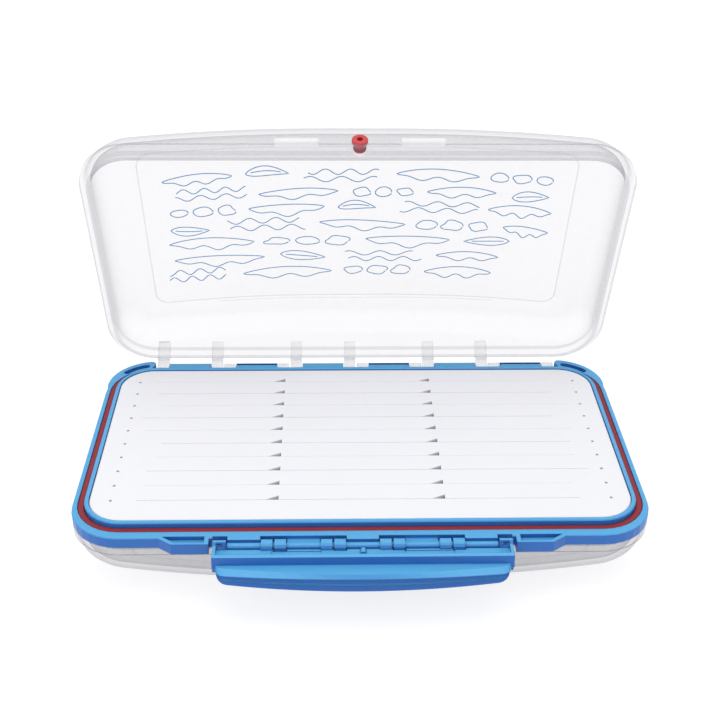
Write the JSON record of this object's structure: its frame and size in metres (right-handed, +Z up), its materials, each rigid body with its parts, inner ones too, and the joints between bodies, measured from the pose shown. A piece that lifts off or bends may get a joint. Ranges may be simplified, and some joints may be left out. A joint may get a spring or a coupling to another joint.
{
  "type": "fly box",
  "caption": "Double-sided waterproof fly box: blue frame with seals and slit foam, two clear arched lids hinged at the back and two latches at the front.",
  "frame": {"origin": "on the bottom lid's flat face, at the middle of the box's length and of the frame's depth", "axes": "+X along the box, +Y from the latches to the hinges, +Z up from the face that the box stands on"},
  "size_m": [0.208, 0.1525, 0.1387],
  "materials": {
    "blue_plastic": "moulded, satin gloss",
    "clear_plastic": "clear, polished",
    "red_silicone": "soft matte",
    "white_foam": "closed-cell foam, matte"
  },
  "bodies": {
    "frame": {"middle_frame": "blue_plastic", "gasket_top": "red_silicone", "gasket_bottom": "red_silicone", "foam_top": "white_foam", "foam_bottom": "white_foam"},
    "top_lid": {"lid_top": "clear_plastic", "vent_plug_top": "red_silicone"},
    "bottom_lid": {"lid_bottom": "clear_plastic", "vent_plug_bottom": "red_silicone"},
    "top_latch": {"latch_top": "blue_plastic"},
    "bottom_latch": {"latch_bottom": "blue_plastic"}
  },
  "joints": [
    {"name": "top_lid_hinge", "type": "hinge", "parent": "frame", "child": "top_lid", "pos_m": [0, 0.0602, 0.0233], "axis": [1, 0, 0], "range_deg": [-32, 73]},
    {"name": "bottom_lid_hinge", "type": "hinge", "parent": "frame", "child": "bottom_lid", "pos_m": [0, 0.0602, 0.0233], "axis": [1, 0, 0], "range_deg": [0, 105]},
    {"name": "top_latch_hinge", "type": "hinge", "parent": "frame", "child": "top_latch", "pos_m": [0, -0.0588, 0.0233], "axis": [1, 0, 0], "range_deg": [-79.5, 0]},
    {"name": "bottom_latch_hinge", "type": "hinge", "parent": "frame", "child": "bottom_latch", "pos_m": [0, -0.0588, 0.0233], "axis": [1, 0, 0], "range_deg": [-4, 19]}
  ]
}
